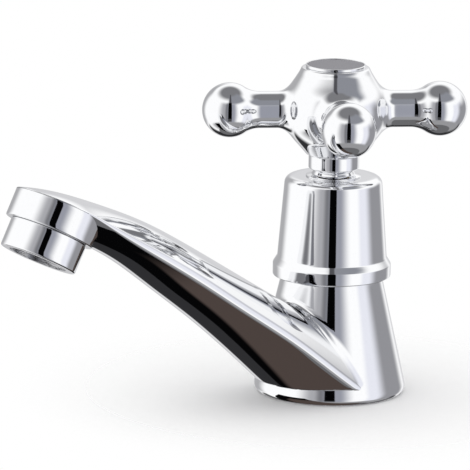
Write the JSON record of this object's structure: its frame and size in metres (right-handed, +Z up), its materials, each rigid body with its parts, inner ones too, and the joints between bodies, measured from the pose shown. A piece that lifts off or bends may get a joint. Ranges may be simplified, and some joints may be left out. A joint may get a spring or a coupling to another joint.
{
  "type": "pillar basin tap",
  "caption": "Pillar basin tap with a cross handle on a bell shroud, a rising cast spout, a quarter turn valve and a screwed-in aerator.",
  "frame": {"origin": "centre of the underside of the base, on the axis of the tower, inlet and handle", "axes": "+Z up along the tower; the spout points along -Y; +X to the right seen from the user's side looking along +Y"},
  "size_m": [0.0762, 0.1727, 0.1093],
  "materials": {
    "chrome_casting": "bright chrome plate on cast brass",
    "chrome_sleeve": "bright chrome plate on turned brass",
    "chrome_shroud": "bright chrome plate",
    "chrome_nut": "bright chrome plate",
    "chrome_handle": "bright chrome plate on a casting",
    "chrome_cap": "bright chrome plate",
    "satin_disc": "satin grey",
    "brass": "turned",
    "steel": "turned stainless steel",
    "steel_mesh": "perforated stainless steel",
    "black_rubber": "matt",
    "white_plastic": "moulded",
    "fibre": "pressed fibre",
    "ceramic": "lapped ceramic"
  },
  "bodies": {
    "tap": {"tap_body": "chrome_casting", "base_seal": "black_rubber", "aerator_housing": "chrome_sleeve", "aerator_washer": "black_rubber", "aerator_filter": "steel_mesh", "aerator_insert": "white_plastic", "aerator_screen": "steel_mesh", "shroud": "chrome_shroud", "shroud_nut": "chrome_nut", "headwork_body": "brass", "headwork_washer": "fibre", "seat_seal": "black_rubber", "ceramic_disc_fixed": "ceramic"},
    "turning_handle": {"handle": "chrome_handle", "handle_insert": "brass", "screw_washer": "steel", "handle_screw": "steel", "handle_cap": "chrome_cap", "cap_disc": "satin_disc", "cap_ring": "black_rubber", "spindle": "brass", "spindle_orings": "black_rubber", "thrust_washer": "white_plastic", "circlip": "steel", "ceramic_disc_moving": "ceramic"}
  },
  "joints": [
    {"name": "handle_turn", "type": "hinge", "parent": "tap", "child": "turning_handle", "pos_m": [0, 0, 0.0943], "axis": [0, 0, 1], "range_deg": [0, 90]}
  ]
}
